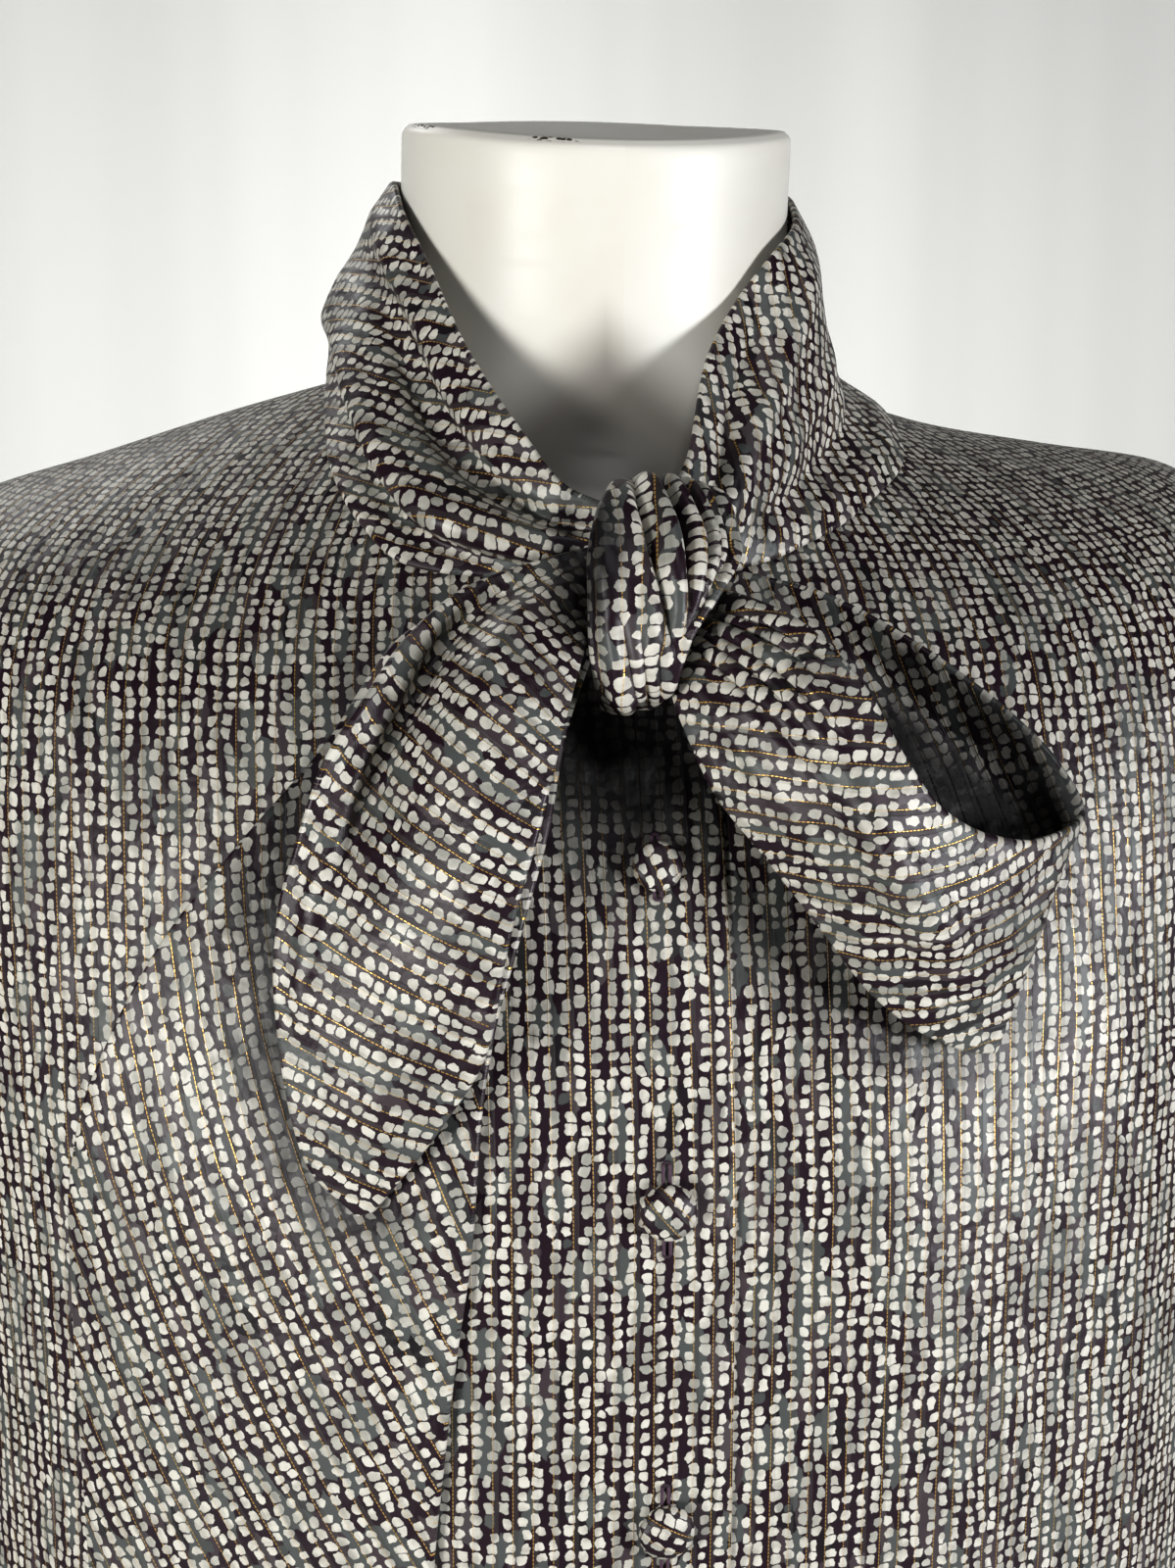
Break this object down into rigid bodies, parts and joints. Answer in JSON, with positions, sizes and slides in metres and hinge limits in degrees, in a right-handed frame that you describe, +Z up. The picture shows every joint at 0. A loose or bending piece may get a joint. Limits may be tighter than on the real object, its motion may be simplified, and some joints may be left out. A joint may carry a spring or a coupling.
{
  "type": "tie neck blouse on a dress form",
  "caption": "Long-sleeved button-front blouse whose collar ties in a soft bow at the neck, standing on a limbless dress form with a flat base.",
  "frame": {"origin": "middle of the form's flat base, on the surface that it stands on", "axes": "+X to the viewer's right (the wearer's left), the front faces -Y, +Z up"},
  "size_m": [0.68, 0.3079, 0.853],
  "materials": {
    "form": "smooth glossy off-white",
    "cloth": "satin with a pebble print and fine metallic threads",
    "cloth_double": "the same satin, two layers",
    "button_cover": "the same satin over a domed button"
  },
  "bodies": {
    "root": {"dress_form": "form", "front_right": "cloth", "front_left": "cloth", "back_panel": "cloth", "sleeve_right": "cloth", "sleeve_left": "cloth", "cuff_right": "cloth_double", "cuff_left": "cloth_double", "collar_right": "cloth_double", "collar_left": "cloth_double", "tail_long": "cloth_double", "tail_short": "cloth_double", "bow_loop": "cloth_double", "tie_knot": "cloth_double", "button_1": "button_cover", "button_2": "button_cover", "button_3": "button_cover", "button_4": "button_cover", "button_5": "button_cover", "button_6": "button_cover", "cuff_button_right": "button_cover", "cuff_button_left": "button_cover"}
  },
  "joints": []
}
